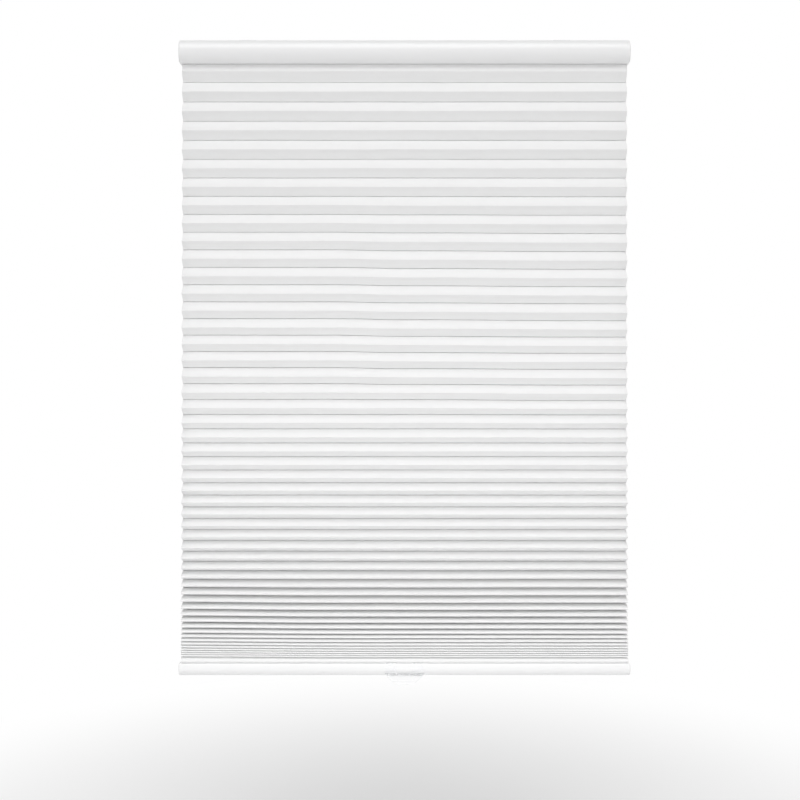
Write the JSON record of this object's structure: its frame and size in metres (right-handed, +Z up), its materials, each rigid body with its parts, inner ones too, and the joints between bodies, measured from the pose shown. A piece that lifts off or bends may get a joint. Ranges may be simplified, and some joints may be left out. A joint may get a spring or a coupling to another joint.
{
  "type": "pleated blind",
  "caption": "Cordless pleated window blind with honeycomb cell fabric hung between a rounded head rail and a weighted bottom rail with a clear lifting handle.",
  "frame": {"origin": "centre of the four ceiling screw holes, on the top face of the brackets", "axes": "+X along the rails to the right as seen from the room, +Y away from the room towards the glass, +Z up"},
  "size_m": [0.686, 0.0525, 0.979],
  "materials": {
    "rail_paint": "white satin-gloss powder coat",
    "cap_plastic": "white moulded plastic",
    "pleat_fabric": "white spunbond polyester, pleated and glued",
    "clear_plastic": "clear moulded plastic",
    "strip_plastic": "natural extruded plastic",
    "unit_plastic": "off-white moulded plastic",
    "gear_plastic": "natural acetal",
    "spring_steel": "bright spring steel strip",
    "zinc_steel": "zinc plated steel",
    "cord_white": "white braided cord"
  },
  "bodies": {
    "head": {"head_rail": "rail_paint", "head_end_cap_left": "cap_plastic", "head_end_cap_right": "cap_plastic", "bracket_left": "zinc_steel", "bracket_right": "zinc_steel", "fabric_top_strip": "strip_plastic", "fabric": "pleat_fabric", "lift_tray": "unit_plastic", "lift_cover": "unit_plastic", "cover_screws": "zinc_steel", "power_spring": "spring_steel", "cord_guide_left": "unit_plastic", "cord_guide_right": "unit_plastic", "pulley_pin_left": "zinc_steel", "pulley_pin_right": "zinc_steel", "lift_cord_left": "cord_white", "lift_cord_right": "cord_white"},
    "bottom": {"bottom_rail": "rail_paint", "bottom_end_cap_left": "cap_plastic", "bottom_end_cap_right": "cap_plastic", "fabric_bottom_strip": "strip_plastic", "ballast_bar": "zinc_steel", "cord_anchor_left": "unit_plastic", "cord_anchor_right": "unit_plastic", "handle": "clear_plastic"},
    "spool_left": {"spool_left": "gear_plastic"},
    "spool_right": {"spool_right": "gear_plastic"},
    "output_drum": {"output_drum": "gear_plastic"},
    "storage_drum": {"storage_drum": "gear_plastic"},
    "idler_gear": {"idler_gear": "gear_plastic"},
    "guide_pulley_left": {"guide_pulley_left": "gear_plastic"},
    "guide_pulley_right": {"guide_pulley_right": "gear_plastic"}
  },
  "joints": [
    {"name": "bottom_rail_lift", "type": "slide", "parent": "head", "child": "bottom", "axis": [0, 0, 1], "range_m": [-0.65, 0.77], "deforming": ["fabric", "lift_cord_left", "lift_cord_right"]},
    {"name": "spool_left_turn", "type": "hinge", "parent": "head", "child": "spool_left", "pos_m": [-0.04545, 0.0025, -0.02], "axis": [0, 0, 1], "range_deg": [-3660, 4335]},
    {"name": "output_drum_turn", "type": "hinge", "parent": "head", "child": "output_drum", "pos_m": [-0.01515, 0.0025, -0.02], "axis": [0, 0, 1], "range_deg": [-4335, 3660]},
    {"name": "idler_gear_turn", "type": "hinge", "parent": "head", "child": "idler_gear", "pos_m": [0.01515, 0.0025, -0.028], "axis": [0, 0, 1], "range_deg": [-3660, 4335]},
    {"name": "storage_drum_turn", "type": "hinge", "parent": "head", "child": "storage_drum", "pos_m": [0.01515, 0.0025, -0.018], "axis": [0, 0, 1], "range_deg": [-4025, 4765]},
    {"name": "spool_right_turn", "type": "hinge", "parent": "head", "child": "spool_right", "pos_m": [0.04545, 0.0025, -0.02], "axis": [0, 0, 1], "range_deg": [-4335, 3660]},
    {"name": "guide_pulley_left_turn", "type": "hinge", "parent": "head", "child": "guide_pulley_left", "pos_m": [-0.2095, 0, -0.0206], "axis": [0, 1, 0], "range_deg": [-6780, 8030]},
    {"name": "guide_pulley_right_turn", "type": "hinge", "parent": "head", "child": "guide_pulley_right", "pos_m": [0.2095, 0, -0.0206], "axis": [0, 1, 0], "range_deg": [-8030, 6780]}
  ],
  "couplings": [
    {"joint": "spool_left_turn", "follows": "bottom_rail_lift", "rad_per_m": 98.039},
    {"joint": "output_drum_turn", "follows": "bottom_rail_lift", "rad_per_m": -98.039},
    {"joint": "idler_gear_turn", "follows": "bottom_rail_lift", "rad_per_m": 98.039},
    {"joint": "storage_drum_turn", "follows": "bottom_rail_lift", "rad_per_m": 107.84},
    {"joint": "spool_right_turn", "follows": "bottom_rail_lift", "rad_per_m": -98.039},
    {"joint": "guide_pulley_left_turn", "follows": "bottom_rail_lift", "rad_per_m": 181.82},
    {"joint": "guide_pulley_right_turn", "follows": "bottom_rail_lift", "rad_per_m": -181.82}
  ]
}
